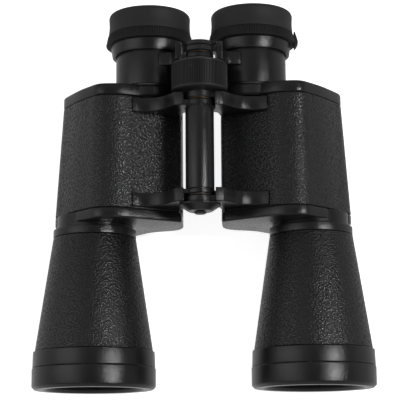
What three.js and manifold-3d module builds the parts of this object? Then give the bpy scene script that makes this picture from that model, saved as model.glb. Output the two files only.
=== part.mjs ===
// Centre-focus Porro-prism binoculars with 50 mm objectives, in millimetres.
// +Y runs along the optical axes towards the eyecups, +Z is up, and the binoculars lie on
// Z = 0 with the hinge on top. Each half is built round the hinge axis, with x as the
// distance outwards and z as the height above the hinge; the left half is the right one mirrored.
import * as THREE from "three";
import { mergeVertices } from "three/addons/utils/BufferGeometryUtils.js";
import Module from "manifold-3d";

const wasm = await Module();
wasm.setup();

// ---------------------------------------------------------------- driving dimensions
const GAP = 0.3; // clearance between pieces that touch

const OBJECTIVE_AXIS = { x: 57.5, z: -33.5 };
const EYEPIECE_AXIS = { x: 27.5, z: -24 };
const HOOD_RADIUS = 32.5;
const HINGE_HEIGHT = HOOD_RADIUS - OBJECTIVE_AXIS.z;

const OBJECTIVE_END = -100;
const EYECUP_END = 100;

const REAR_COVER = { front: 51.5, back: 57.6, bossRadius: 16.5 };
const FRONT_COVER = { front: -13.7, back: -8.3 };
const SKIN = 0.8; // thickness of the leatherette
const WALL = 1.9; // thickness of the cast housing
const EDGE = 1.5; // chamfer of the hood's rim
const FLARE = { from: 34, to: 76, widening: 4.1 }; // the outer side leans out towards the objectives

const STRAPS = [
  { low: 42.8, high: 50.2 },
  { low: -7.6, high: -0.4 },
];
const KNUCKLE_RADIUS = 7.7;
const KNUCKLE_TOP = 50.5;
const AXLE_RADIUS = 4.6;
const AXLE_BORE = 3.1;
const SPINDLE_RADIUS = 2.8;
const HINGE_TUBE = { radius: 7.4, low: -0.7, high: 42.7 };
const UPPER_WASHER = { low: 46.25, high: 46.75 };
const LOWER_WASHER = { low: -4.25, high: -3.75 };

const WHEEL = { radius: 14.5, low: 51, high: 66, nutFrom: 63, chamfer: 0.6 };
const HINGE_CAP = { radius: 10.7, faceRadius: 6.2, bore: 2.2, back: -8.1, rim: -8.7, face: -12 };
const CAP_SCREW = { shank: 1.9, head: 3.3, edge: 2.9, back: -8.2, rim: -13.3, top: -13.5 };
const HUB = { lowerRadius: 7.5, upperRadius: 8, low: 68.2, seam: 71.3, high: 74.6, capTop: 77.3 };
const ARM = { low: 67.5, high: 74.6 };
const EAR = { inner: 9, outer: 12.3, low: 68.3, high: 77.2, halfHeight: 4.5 };
const HUB_WEB = { from: 4, to: 10, halfHeight: 3.5 };
const HUB_WASHER = { low: HUB.seam - 0.25, high: HUB.seam + 0.25 };
const THREAD_DEPTH = 20; // where the bore of the axle starts
const SPINDLE_LOW = 24;

const TUBE = { radius: 18, bore: 16, low: 58.2, high: 80.3 };
const SLEEVE = { radius: 15.6, bore: 14.2, shoulder: 58.2, high: 72 };
const SPIGOT = { radius: 13.8, bore: 12.6, low: 51.8, high: 59.7 }; // the sleeve's foot in the cover
const COLLAR = { low: 76.4, high: 82.4, lowRadius: 19.9, highRadius: 20.9, bore: 16.4 };
const RIB_BAND = { low: 82.7, high: 87.8, lowRadius: 23.4, highRadius: 22.5, lip: 1.2, bore: 16.6 };
const TAB_HALF_WIDTH = 3;
const EYECUP = {
  low: 88.1,
  bore: 14.9,
  foot: 22.1,
  waist: 21.6,
  waistY: 93,
  lip: 21.9,
  lipY: 98.6,
  faceOuter: 20.8,
  faceInner: 19.2,
  mouth: 17.9,
  mouthY: 97.5,
};
const OCULAR = { radius: 13.9, bore: 12.4, low: 62, high: 88.4, flangeLow: 74.4, flangeHigh: 79.4 };

const BARREL_TOP_RADIUS = 22;
const BARREL_END_RADIUS = 31;
const NECK = { radius: 20, bore: 17.8 };
const LENS_SEAT = { radius: 27.6, low: -86.5, high: -75.5, rim: 29 };
const BARREL_FLANGE = { low: -19.9, high: -15.8 };
const BARREL_SKIN = { low: -79.9, high: -20.2 };
const OBJECTIVE_RING = { low: -88.6, high: -80.2, bore: 29.3, lowRadius: 32.2, highRadius: 31.9 };
const HOOD_BACK = -88.9;
const CLEAR_RADIUS = 25; // half of the 50 mm objective
const LENS_CELL = { radius: 27.3, low: -88.3, high: -75.8, lip: 0.5 };

const SHELF = { low: 20.5, high: 23.5 };
const PRISM_HALF_WIDTH = 6.5;
const SHELF_HOLE_RADIUS = 5.7;

const RING_SEGMENTS = 24;
const EYEPIECE_SEGMENTS = 20;
const LENS_SEGMENTS = 16;
const SMALL_SEGMENTS = 12;

// Corners of the housing's section, going round from the hinge side over the top.
// reach is how far along both edges the corner's rounding goes.
const HOUSING_CORNERS = [
  { x: 10.4, z: -20.5, reach: 3 },
  { x: 41, z: -2.8, reach: 5.5 },
  { x: 53, z: -2.4, reach: 4.5 },
  { x: 64.6, z: -15.8, reach: 7 },
  { x: 77, z: -36, reach: 8 },
  { x: 69, z: -54, reach: 7 },
  { x: 52, z: -HINGE_HEIGHT, reach: 4 },
  { x: 40, z: -HINGE_HEIGHT, reach: 4 },
  { x: 28, z: -52, reach: 5 },
  { x: 10.4, z: -46, reach: 8.5 },
];

// ---------------------------------------------------------------- materials
const finish = (color, roughness, metalness) =>
  new THREE.MeshStandardMaterial({ color, roughness, metalness });
const leatherette = finish(0x17171a, 0.6, 0);
const blackPaint = finish(0x1b1b1e, 0.38, 0.2);
const rubber = finish(0x202022, 0.8, 0);
const wheelRubber = finish(0x242426, 0.7, 0);
const bronze = finish(0x8a6038, 0.4, 0.9);
const steel = finish(0x8d9094, 0.35, 0.9);
const darkMetal = finish(0x101012, 0.7, 0.4);
const lensGlass = finish(0x9fb4c8, 0.05, 0);

// ---------------------------------------------------------------- geometry helpers
function signedArea(points) {
  return points.reduce((sum, [r, y], i) => {
    const [nextR, nextY] = points[(i + 1) % points.length];
    return sum + (r * nextY - nextR * y) / 2;
  }, 0);
}

// Turns a [radius, y] outline round the Y axis. An outline off the axis is closed on itself.
function revolve(outline, segments) {
  const points = signedArea(outline) > 0 ? [...outline] : [...outline].reverse();
  const onAxis = points.some(([r]) => r === 0);
  if (onAxis) {
    while (points[0][0] !== 0 || points.at(-1)[0] !== 0) points.push(points.shift());
  } else {
    points.push(points[0]);
  }
  return new THREE.LatheGeometry(
    points.map(([r, y]) => new THREE.Vector2(r, y)),
    segments,
  );
}

const ringBand = (inner, outer, low, high, segments) =>
  revolve([[inner, low], [outer, low], [outer, high], [inner, high]], segments);

const rod = (radius, low, high, segments) =>
  revolve([[0, low], [radius, low], [radius, high], [0, high]], segments);

// The points of a closed outline as vectors, going round the way asked for.
function wound(points, anticlockwise) {
  const vectors = points.map(([x, z]) => new THREE.Vector2(x, z));
  return signedArea(points) > 0 === anticlockwise ? vectors : vectors.reverse();
}

// Extrudes a closed list of [x, z] points along Y from low to high.
function extrudeAlong(outline, low, high, holes = []) {
  const shape = new THREE.Shape(wound(outline, true));
  for (const hole of holes) shape.holes.push(new THREE.Path(wound(hole, false)));
  return new THREE.ExtrudeGeometry(shape, { depth: high - low, bevelEnabled: false })
    .rotateX(Math.PI / 2)
    .translate(0, high, 0);
}

function circle(centre, radius, segments) {
  return Array.from({ length: segments }, (_, i) => {
    const angle = (2 * Math.PI * i) / segments;
    return [centre.x + radius * Math.sin(angle), centre.z + radius * Math.cos(angle)];
  });
}

function block(xLow, xHigh, yLow, yHigh, zLow, zHigh) {
  return new THREE.BoxGeometry(xHigh - xLow, yHigh - yLow, zHigh - zLow).translate(
    (xLow + xHigh) / 2,
    (yLow + yHigh) / 2,
    (zLow + zHigh) / 2,
  );
}

function solidOf(geometry) {
  const bare = geometry.clone();
  bare.deleteAttribute("normal");
  bare.deleteAttribute("uv");
  const merged = mergeVertices(bare, 1e-4);
  return new wasm.Manifold(
    new wasm.Mesh({
      numProp: 3,
      vertProperties: new Float32Array(merged.attributes.position.array),
      triVerts: new Uint32Array(merged.index.array),
    }),
  );
}

function geometryOf(solid) {
  const mesh = solid.getMesh();
  const geometry = new THREE.BufferGeometry();
  geometry.setAttribute("position", new THREE.BufferAttribute(mesh.vertProperties, 3));
  geometry.setIndex(new THREE.BufferAttribute(mesh.triVerts, 1));
  const faceted = geometry.toNonIndexed();
  faceted.computeVertexNormals();
  return faceted;
}

const join = (...parts) => geometryOf(parts.map(solidOf).reduce((a, b) => a.add(b)));
const cut = (body, ...tools) =>
  geometryOf(tools.map(solidOf).reduce((a, b) => a.subtract(b), solidOf(body)));
const overlapOf = (a, b) => geometryOf(solidOf(a).intersect(solidOf(b)));

// ---------------------------------------------------------------- housing section
// Moves every edge of the section inwards by the same distance.
function insetCorners(distance) {
  const corners = HOUSING_CORNERS;
  const edges = corners.map((from, i) => {
    const to = corners[(i + 1) % corners.length];
    const length = Math.hypot(to.x - from.x, to.z - from.z);
    const along = { x: (to.x - from.x) / length, z: (to.z - from.z) / length };
    return {
      x: from.x + along.z * distance,
      z: from.z - along.x * distance,
      along,
    };
  });
  return corners.map((corner, i) => {
    const a = edges[(i + edges.length - 1) % edges.length];
    const b = edges[i];
    const cross = a.along.x * b.along.z - a.along.z * b.along.x;
    const travel = ((b.x - a.x) * b.along.z - (b.z - a.z) * b.along.x) / cross;
    return {
      x: a.x + a.along.x * travel,
      z: a.z + a.along.z * travel,
      reach: Math.max(corner.reach - distance * 0.4, 1.5),
    };
  });
}

// The section as points, with each corner rounded by a quadratic curve of a few steps.
function housingOutline(inset) {
  const corners = insetCorners(inset);
  const steps = 3;
  const toward = (from, to, reach) => {
    const length = Math.hypot(to.x - from.x, to.z - from.z);
    return [
      from.x + ((to.x - from.x) * reach) / length,
      from.z + ((to.z - from.z) * reach) / length,
    ];
  };
  return corners.flatMap((corner, i) => {
    const before = corners[(i + corners.length - 1) % corners.length];
    const after = corners[(i + 1) % corners.length];
    const start = new THREE.Vector2(...toward(corner, before, corner.reach));
    const end = new THREE.Vector2(...toward(corner, after, corner.reach));
    const middle = new THREE.Vector2(corner.x, corner.z);
    const curve = new THREE.QuadraticBezierCurve(start, middle, end);
    return curve.getPoints(steps).map((p) => [p.x, p.y]);
  });
}

// The outer side leans outwards towards the objectives.
function flared(geometry) {
  const position = geometry.attributes.position;
  for (let i = 0; i < position.count; i += 1) {
    const side = Math.max(position.getX(i) - FLARE.from, 0) / (FLARE.to - FLARE.from);
    const forward = (REAR_COVER.front - position.getY(i)) / (REAR_COVER.front - FRONT_COVER.back);
    const share = Math.min(Math.max(forward, 0), 1);
    position.setX(i, position.getX(i) + FLARE.widening * side * side * share);
  }
  return geometry;
}

// ---------------------------------------------------------------- housing pieces
// The strap that carries a hinge lug over the housing, as an outline in x and z. Its inner
// end hooks under the other half's knuckle.
const STRAP_OUTLINE = [
  [8.1, 6.6],
  [12.5, 5.4],
  [15.5, 1.4],
  [18.5, -2.6],
  [22, -5.3],
  [26.7, -6.4],
  [31, -6.2],
  [35, -5],
  [35, -8.4],
  [13.5, -20.8],
  [12.4, -25],
  [11.4, -25],
  [9, -12],
  [5.2, -9.2],
  [4.8, -7.4],
  [6.6, -5],
  [8.1, -1.8],
];
const STRAP_WINDOW = { x: [5, 35 + GAP], z: [-27, 8] };

// Rows along Y where a half's knuckles sit: the left half has the inner ones.
const [UPPER_STRAP, LOWER_STRAP] = STRAPS;
const KNUCKLES = {
  left: [
    { low: HINGE_TUBE.high + GAP, high: UPPER_WASHER.low - GAP },
    { low: LOWER_WASHER.high + GAP, high: HINGE_TUBE.low - GAP },
  ],
  right: [
    { low: UPPER_WASHER.high + GAP, high: KNUCKLE_TOP },
    { low: LOWER_STRAP.low, high: LOWER_WASHER.low - GAP },
  ],
};

// A web ties each knuckle to its strap.
const KNUCKLE_WEB = { from: 4, to: 11, halfHeight: 5.5 };

function knuckle({ low, high }) {
  const { from, to, halfHeight } = KNUCKLE_WEB;
  const webHigh = Math.min(high, UPPER_STRAP.high);
  return [
    rod(KNUCKLE_RADIUS, low, high, EYEPIECE_SEGMENTS),
    block(from, to, low, webHigh, -halfHeight, halfHeight),
  ];
}

function housing(side) {
  const shell = flared(
    extrudeAlong(
      housingOutline(SKIN + GAP),
      FRONT_COVER.back + GAP,
      REAR_COVER.front - GAP,
      [housingOutline(SKIN + GAP + WALL)],
    ),
  );
  const straps = STRAPS.map(({ low, high }) => extrudeAlong(STRAP_OUTLINE, low, high));
  const knuckles = KNUCKLES[side].flatMap(knuckle);
  const body = join(shell, ...straps, ...knuckles);
  return cut(body, rod(AXLE_RADIUS + GAP, FRONT_COVER.front, REAR_COVER.back, SMALL_SEGMENTS));
}

function housingSkin() {
  const skin = flared(
    extrudeAlong(
      housingOutline(0),
      FRONT_COVER.back + GAP,
      REAR_COVER.front - GAP,
      [housingOutline(SKIN)],
    ),
  );
  const rows = [
    [FRONT_COVER.back, LOWER_STRAP.high + GAP],
    [UPPER_STRAP.low - GAP, REAR_COVER.front],
  ];
  return cut(skin, ...rows.map((row) => block(...STRAP_WINDOW.x, ...row, ...STRAP_WINDOW.z)));
}

const onAxis = (geometry, axis) => geometry.translate(axis.x, 0, axis.z);

// A plate with a round boss under the eyepiece, bored for the guide sleeve's foot.
function rearCover() {
  const plate = flared(extrudeAlong(housingOutline(0), REAR_COVER.front, REAR_COVER.back));
  const boss = rod(REAR_COVER.bossRadius, REAR_COVER.front, REAR_COVER.back, EYEPIECE_SEGMENTS);
  const bore = rod(SPIGOT.radius + GAP, 0, EYECUP_END, EYEPIECE_SEGMENTS);
  return cut(join(plate, onAxis(boss, EYEPIECE_AXIS)), onAxis(bore, EYEPIECE_AXIS));
}

function frontCover() {
  const plate = flared(extrudeAlong(housingOutline(0), FRONT_COVER.front, FRONT_COVER.back));
  const bore = rod(NECK.radius + GAP, OBJECTIVE_END, 0, RING_SEGMENTS);
  return cut(plate, onAxis(bore, OBJECTIVE_AXIS));
}

// ---------------------------------------------------------------- prisms
// The two prisms of a half meet over the corner point, each moving the beam half of the way.
const offset = {
  x: EYEPIECE_AXIS.x - OBJECTIVE_AXIS.x,
  z: EYEPIECE_AXIS.z - OBJECTIVE_AXIS.z,
};
const PRISM_CORNER = {
  x: (EYEPIECE_AXIS.x + OBJECTIVE_AXIS.x + offset.z) / 2,
  z: (EYEPIECE_AXIS.z + OBJECTIVE_AXIS.z - offset.x) / 2,
};
const BEAM_SHIFT = Math.hypot(offset.x, offset.z) / Math.SQRT2;

// A right-angle prism over the origin: its long face lies on Y = 0 along X, its ends are rounded.
function prism() {
  const wedge = new THREE.ExtrudeGeometry(
    new THREE.Shape([
      new THREE.Vector2(-BEAM_SHIFT, 0),
      new THREE.Vector2(BEAM_SHIFT, 0),
      new THREE.Vector2(0, BEAM_SHIFT),
    ]),
    { depth: 2 * PRISM_HALF_WIDTH, bevelEnabled: false },
  ).translate(0, 0, -PRISM_HALF_WIDTH);
  const centre = BEAM_SHIFT / 2;
  const steps = 6;
  const roundEnd = (sign) =>
    Array.from({ length: steps + 1 }, (_, i) => {
      const angle = sign * (Math.PI / 2) - (Math.PI * i) / steps;
      return [
        sign * centre + PRISM_HALF_WIDTH * Math.cos(angle),
        PRISM_HALF_WIDTH * Math.sin(angle),
      ];
    });
  const stadium = [...roundEnd(1), ...roundEnd(-1)];
  return overlapOf(wedge, extrudeAlong(stadium, -1, BEAM_SHIFT + 1));
}

// A spring strip that holds a prism down: two legs beside it and a bar over its edge.
function prismClip() {
  const leg = PRISM_HALF_WIDTH + GAP;
  const strip = 0.7;
  const top = BEAM_SHIFT + GAP;
  const halfStrip = 2.5;
  const foot = 0.4;
  return new THREE.ExtrudeGeometry(
    new THREE.Shape(
      [
        [leg, foot],
        [leg + strip, foot],
        [leg + strip, top + strip],
        [-leg - strip, top + strip],
        [-leg - strip, foot],
        [-leg, foot],
        [-leg, top],
        [leg, top],
      ].map(([x, y]) => new THREE.Vector2(x, y)),
    ),
    { depth: 2 * halfStrip, bevelEnabled: false },
  )
    .translate(0, 0, -halfStrip)
    .rotateY(Math.PI / 2);
}

const prismShelf = () =>
  extrudeAlong(
    housingOutline(SKIN + GAP + WALL + GAP),
    SHELF.low,
    SHELF.high,
    [OBJECTIVE_AXIS, EYEPIECE_AXIS, PRISM_CORNER].map((centre) =>
      circle(centre, SHELF_HOLE_RADIUS, SMALL_SEGMENTS),
    ),
  );

// ---------------------------------------------------------------- barrel and objective
function barrel() {
  const coneTop = BARREL_TOP_RADIUS - SKIN - GAP;
  const coneEnd = BARREL_END_RADIUS - SKIN - GAP;
  return revolve(
    [
      [NECK.radius, FRONT_COVER.back - GAP],
      [NECK.radius, BARREL_FLANGE.high],
      [BARREL_TOP_RADIUS, BARREL_FLANGE.high],
      [BARREL_TOP_RADIUS, BARREL_FLANGE.low],
      [coneTop, BARREL_FLANGE.low],
      [coneEnd, BARREL_SKIN.low],
      [LENS_SEAT.rim, BARREL_SKIN.low],
      [LENS_SEAT.rim, LENS_SEAT.low],
      [LENS_SEAT.radius, LENS_SEAT.low],
      [LENS_SEAT.radius, LENS_SEAT.high],
      [CLEAR_RADIUS, LENS_SEAT.high],
      [NECK.bore, BARREL_FLANGE.low],
      [NECK.bore, FRONT_COVER.back - GAP],
    ],
    RING_SEGMENTS,
  );
}

const barrelSkin = () =>
  revolve(
    [
      [BARREL_TOP_RADIUS - SKIN, BARREL_SKIN.high],
      [BARREL_TOP_RADIUS, BARREL_SKIN.high],
      [BARREL_END_RADIUS, BARREL_SKIN.low],
      [BARREL_END_RADIUS - SKIN, BARREL_SKIN.low],
    ],
    RING_SEGMENTS,
  );

const objectiveRing = () =>
  revolve(
    [
      [OBJECTIVE_RING.bore, OBJECTIVE_RING.low],
      [OBJECTIVE_RING.lowRadius, OBJECTIVE_RING.low],
      [OBJECTIVE_RING.highRadius, OBJECTIVE_RING.high],
      [OBJECTIVE_RING.bore, OBJECTIVE_RING.high],
    ],
    RING_SEGMENTS,
  );

const objectiveHood = () =>
  revolve(
    [
      [CLEAR_RADIUS, HOOD_BACK],
      [HOOD_RADIUS, HOOD_BACK],
      [HOOD_RADIUS, OBJECTIVE_END + EDGE],
      [HOOD_RADIUS - EDGE, OBJECTIVE_END],
      [CLEAR_RADIUS + EDGE, OBJECTIVE_END],
      [CLEAR_RADIUS, OBJECTIVE_END + EDGE],
    ],
    RING_SEGMENTS,
  );

const objectiveCell = () =>
  revolve(
    [
      [CLEAR_RADIUS - 1, LENS_CELL.high],
      [LENS_CELL.radius, LENS_CELL.high],
      [LENS_CELL.radius, LENS_CELL.low],
      [CLEAR_RADIUS + GAP, LENS_CELL.low],
      [CLEAR_RADIUS + GAP, LENS_CELL.high - LENS_CELL.lip],
      [CLEAR_RADIUS - 1, LENS_CELL.high - LENS_CELL.lip],
    ],
    RING_SEGMENTS,
  );

// Each lens as the Y of its two edges and how far the middle of each face stands off its
// edge, positive along +Y.
const CROWN = { low: -84.4, high: -81.4, lowBulge: -2.6, highBulge: 2.4 };
const FLINT = { low: -81.1, high: -76.6, lowBulge: 2.4, highBulge: 0 };
const EYE_LENS = { low: 83, high: 85.5, lowBulge: -1.5, highBulge: 2.4 };
const FIELD_LENS = { low: 64, high: 66.5, lowBulge: -2.2, highBulge: 1.5 };

function lens(radius, { low, high, lowBulge, highBulge }) {
  const steps = 3;
  const face = (edge, bulge) =>
    Array.from({ length: steps + 1 }, (_, i) => {
      const share = i / steps;
      return [radius * share, edge + bulge * (1 - share * share)];
    });
  return revolve([...face(low, lowBulge), ...face(high, highBulge).reverse()], LENS_SEGMENTS);
}

// ---------------------------------------------------------------- eyepiece pieces
const guideSleeve = () =>
  revolve(
    [
      [SPIGOT.bore, SPIGOT.low],
      [SPIGOT.radius, SPIGOT.low],
      [SPIGOT.radius, SLEEVE.shoulder],
      [SLEEVE.radius, SLEEVE.shoulder],
      [SLEEVE.radius, SLEEVE.high],
      [SLEEVE.bore, SLEEVE.high],
      [SLEEVE.bore, SPIGOT.high],
      [SPIGOT.bore, SPIGOT.high],
    ],
    EYEPIECE_SEGMENTS,
  );

const eyepieceTube = () =>
  ringBand(TUBE.bore, TUBE.radius, TUBE.low, TUBE.high, EYEPIECE_SEGMENTS);

const eyepieceCollar = () =>
  revolve(
    [
      [TUBE.radius + GAP, COLLAR.low],
      [COLLAR.lowRadius, COLLAR.low],
      [COLLAR.highRadius, COLLAR.high],
      [COLLAR.bore, COLLAR.high],
      [COLLAR.bore, TUBE.high + GAP],
      [TUBE.radius + GAP, TUBE.high + GAP],
    ],
    EYEPIECE_SEGMENTS,
  );

const ribBand = () =>
  revolve(
    [
      [RIB_BAND.bore, RIB_BAND.low],
      [RIB_BAND.lowRadius, RIB_BAND.low],
      [RIB_BAND.lowRadius, RIB_BAND.low + RIB_BAND.lip],
      [RIB_BAND.highRadius, RIB_BAND.high],
      [RIB_BAND.bore, RIB_BAND.high],
    ],
    EYEPIECE_SEGMENTS,
  );

// The finger tab of the diopter ring, as an outline in x and y from the eyepiece's axis.
const TAB_OUTLINE = [
  [22.5, 80.9],
  [23.4, 80.9],
  [24.8, 83.4],
  [24.6, 84.8],
  [23.2, 89.3],
  [22.5, 89.3],
];

// The diopter ring is the rib band with the finger tab on its outer side.
function diopterRing() {
  const tab = new THREE.ExtrudeGeometry(
    new THREE.Shape(TAB_OUTLINE.map(([x, y]) => new THREE.Vector2(x, y))),
    { depth: 2 * TAB_HALF_WIDTH, bevelEnabled: false },
  ).translate(0, 0, -TAB_HALF_WIDTH);
  return join(ribBand(), tab);
}

const eyecup = () =>
  revolve(
    [
      [EYECUP.bore, EYECUP.low],
      [EYECUP.foot, EYECUP.low],
      [EYECUP.waist, EYECUP.waistY],
      [EYECUP.lip, EYECUP.lipY],
      [EYECUP.faceOuter, EYECUP_END],
      [EYECUP.faceInner, EYECUP_END],
      [EYECUP.mouth, EYECUP.mouthY],
    ],
    EYEPIECE_SEGMENTS,
  );

const ocularCell = () =>
  revolve(
    [
      [OCULAR.bore, OCULAR.low],
      [OCULAR.radius, OCULAR.low],
      [OCULAR.radius, OCULAR.flangeLow],
      [TUBE.bore - GAP, OCULAR.flangeLow],
      [TUBE.bore - GAP, OCULAR.flangeHigh],
      [OCULAR.radius, OCULAR.flangeHigh],
      [OCULAR.radius, OCULAR.high],
      [OCULAR.bore, OCULAR.high],
    ],
    EYEPIECE_SEGMENTS,
  );

// ---------------------------------------------------------------- bridge and focus drive
// An arm of the bridge: a ring round the spindle, an ear beside the hub and a bar that
// reaches the eyepiece tube.
const ARM_OUTLINE = [
  [EAR.inner, EAR.halfHeight],
  [EAR.outer, EAR.halfHeight],
  [13, -2.4],
  [15, -5.2],
  [21.8, -5.9],
  [21.8, -12],
  [13, -20],
  [EAR.inner, -EAR.halfHeight],
];

function bridgeArm(ring) {
  const bar = extrudeAlong(ARM_OUTLINE, ARM.low, ARM.high);
  const arm = join(
    bar,
    block(EAR.inner, EAR.outer, EAR.low, EAR.high, -EAR.halfHeight, EAR.halfHeight),
    block(HUB_WEB.from, HUB_WEB.to, ring.low, ring.high, -HUB_WEB.halfHeight, HUB_WEB.halfHeight),
    rod(ring.radius, ring.low, ring.high, SMALL_SEGMENTS),
  );
  return cut(
    arm,
    rod(SPINDLE_RADIUS + GAP, TUBE.low, EYECUP_END, SMALL_SEGMENTS),
    onAxis(rod(TUBE.radius + GAP, TUBE.low, EYECUP_END, EYEPIECE_SEGMENTS), EYEPIECE_AXIS),
  );
}

const hingeAxle = () =>
  revolve(
    [
      [0, HINGE_CAP.back + GAP],
      [AXLE_RADIUS, HINGE_CAP.back + GAP],
      [AXLE_RADIUS, WHEEL.nutFrom - GAP],
      [AXLE_BORE, WHEEL.nutFrom - GAP],
      [AXLE_BORE, THREAD_DEPTH],
      [0, THREAD_DEPTH],
    ],
    SMALL_SEGMENTS,
  );

const hingeCap = () =>
  revolve(
    [
      [HINGE_CAP.bore, HINGE_CAP.back],
      [HINGE_CAP.radius, HINGE_CAP.back],
      [HINGE_CAP.radius, HINGE_CAP.rim],
      [HINGE_CAP.faceRadius, HINGE_CAP.face],
      [HINGE_CAP.bore, HINGE_CAP.face],
    ],
    RING_SEGMENTS,
  );

const hingeCapScrew = () =>
  revolve(
    [
      [0, CAP_SCREW.back],
      [CAP_SCREW.shank, CAP_SCREW.back],
      [CAP_SCREW.shank, HINGE_CAP.face - GAP],
      [CAP_SCREW.head, HINGE_CAP.face - GAP],
      [CAP_SCREW.edge, CAP_SCREW.rim],
      [0, CAP_SCREW.top],
    ],
    SMALL_SEGMENTS,
  );

const focusWheel = () =>
  revolve(
    [
      [AXLE_RADIUS + GAP, WHEEL.low],
      [WHEEL.radius - WHEEL.chamfer, WHEEL.low],
      [WHEEL.radius, WHEEL.low + WHEEL.chamfer],
      [WHEEL.radius, WHEEL.high - WHEEL.chamfer],
      [WHEEL.radius - WHEEL.chamfer, WHEEL.high],
      [SPINDLE_RADIUS + GAP, WHEEL.high],
      [SPINDLE_RADIUS + GAP, WHEEL.nutFrom],
      [AXLE_RADIUS + GAP, WHEEL.nutFrom],
    ],
    RING_SEGMENTS,
  );

// ---------------------------------------------------------------- assembly
function add(group, name, geometry, material) {
  const mesh = new THREE.Mesh(geometry, material);
  mesh.name = name;
  group.add(mesh);
  return mesh;
}

function addObjectiveSide(group, side) {
  const axis = new THREE.Group();
  axis.position.set(OBJECTIVE_AXIS.x, 0, OBJECTIVE_AXIS.z);
  group.add(axis);
  add(axis, side + "_barrel", barrel(), blackPaint);
  add(axis, side + "_barrel_leatherette", barrelSkin(), leatherette);
  add(axis, side + "_objective_ring", objectiveRing(), blackPaint);
  add(axis, side + "_objective_hood", objectiveHood(), blackPaint);
  add(axis, side + "_objective_cell", objectiveCell(), darkMetal);
  add(axis, side + "_crown_lens", lens(CLEAR_RADIUS, CROWN), lensGlass);
  add(axis, side + "_flint_lens", lens(CLEAR_RADIUS, FLINT), lensGlass);
}

function addEyepiece(group, side) {
  const axis = new THREE.Group();
  axis.position.set(EYEPIECE_AXIS.x, 0, EYEPIECE_AXIS.z);
  group.add(axis);
  add(axis, side + "_guide_sleeve", guideSleeve(), steel);
  add(axis, side + "_eyepiece_tube", eyepieceTube(), blackPaint);
  add(axis, side + "_eyepiece_collar", eyepieceCollar(), blackPaint);
  if (side === "right") {
    add(axis, "diopter_ring", diopterRing(), rubber);
  } else {
    add(axis, "left_rib_band", ribBand(), rubber);
  }
  add(axis, side + "_eyecup", eyecup(), rubber);
  add(axis, side + "_ocular_cell", ocularCell(), darkMetal);
  add(axis, side + "_eye_lens", lens(OCULAR.bore - GAP, EYE_LENS), lensGlass);
  add(axis, side + "_field_lens", lens(OCULAR.bore - GAP, FIELD_LENS), lensGlass);
}

// Places a prism or its clip over the middle of two beams, turned so that X runs between them.
function overBeams(mesh, from, to, pointsBack) {
  const turn = Math.atan2(-(to.z - from.z), to.x - from.x);
  mesh.position.set(
    (from.x + to.x) / 2,
    pointsBack ? SHELF.high + GAP : SHELF.low - GAP,
    (from.z + to.z) / 2,
  );
  mesh.rotation.set(pointsBack ? 0 : Math.PI, turn, 0, "YXZ");
}

function addPrisms(group, side) {
  add(group, side + "_prism_shelf", prismShelf(), darkMetal);
  const seats = [
    { name: "_rear_prism", from: OBJECTIVE_AXIS, to: PRISM_CORNER, pointsBack: true },
    { name: "_front_prism", from: PRISM_CORNER, to: EYEPIECE_AXIS, pointsBack: false },
  ];
  for (const seat of seats) {
    const glass = add(group, side + seat.name, prism(), lensGlass);
    const clip = add(group, side + seat.name + "_clip", prismClip(), steel);
    overBeams(glass, seat.from, seat.to, seat.pointsBack);
    overBeams(clip, seat.from, seat.to, seat.pointsBack);
  }
}

function addHalf(parent, side) {
  const half = new THREE.Group();
  half.scale.x = side === "left" ? -1 : 1;
  parent.add(half);
  add(half, side + "_housing", housing(side), blackPaint);
  add(half, side + "_housing_leatherette", housingSkin(), leatherette);
  add(half, side + "_rear_cover", rearCover(), blackPaint);
  add(half, side + "_front_cover", frontCover(), blackPaint);
  addPrisms(half, side);
  addObjectiveSide(half, side);
  addEyepiece(half, side);
  const ring =
    side === "left"
      ? { radius: HUB.lowerRadius, low: HUB.low, high: HUB_WASHER.low - GAP }
      : { radius: HUB.upperRadius, low: HUB_WASHER.high + GAP, high: HUB.high };
  add(half, side + "_bridge_arm", bridgeArm(ring), blackPaint);
}

function addCentre(parent) {
  const washer = ({ low, high }) =>
    ringBand(AXLE_RADIUS + GAP, KNUCKLE_RADIUS, low, high, EYEPIECE_SEGMENTS);
  add(parent, "hinge_axle", hingeAxle(), steel);
  add(
    parent,
    "hinge_tube",
    ringBand(AXLE_RADIUS + GAP, HINGE_TUBE.radius, HINGE_TUBE.low, HINGE_TUBE.high, EYEPIECE_SEGMENTS),
    blackPaint,
  );
  add(parent, "upper_hinge_washer", washer(UPPER_WASHER), bronze);
  add(parent, "lower_hinge_washer", washer(LOWER_WASHER), bronze);
  add(
    parent,
    "bridge_hub_washer",
    ringBand(SPINDLE_RADIUS + GAP, HUB.lowerRadius, HUB_WASHER.low, HUB_WASHER.high, SMALL_SEGMENTS),
    bronze,
  );
  add(parent, "hinge_cap", hingeCap(), blackPaint);
  add(parent, "hinge_cap_screw", hingeCapScrew(), blackPaint);
  add(parent, "focus_wheel", focusWheel(), wheelRubber);
  add(parent, "focus_spindle", rod(SPINDLE_RADIUS, SPINDLE_LOW, HUB.high, SMALL_SEGMENTS), steel);
  add(
    parent,
    "bridge_hub_cap",
    rod(HUB.upperRadius, HUB.high + GAP, HUB.capTop, SMALL_SEGMENTS),
    blackPaint,
  );
}

const binoculars = new THREE.Group();
binoculars.position.z = HINGE_HEIGHT;
addHalf(binoculars, "left");
addHalf(binoculars, "right");
addCentre(binoculars);

export default binoculars;
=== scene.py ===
"""Centre-focus Porro-prism binoculars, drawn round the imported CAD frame.

Every shape is drawn for the right half in millimetres: x outwards from the hinge axis, y towards
the eyecups, z above the hinge axis. add_piece() scales it to metres, and mirrors it for the left.
"""

import math

import bmesh
import bpy
from mathutils import Matrix, Vector


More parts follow.
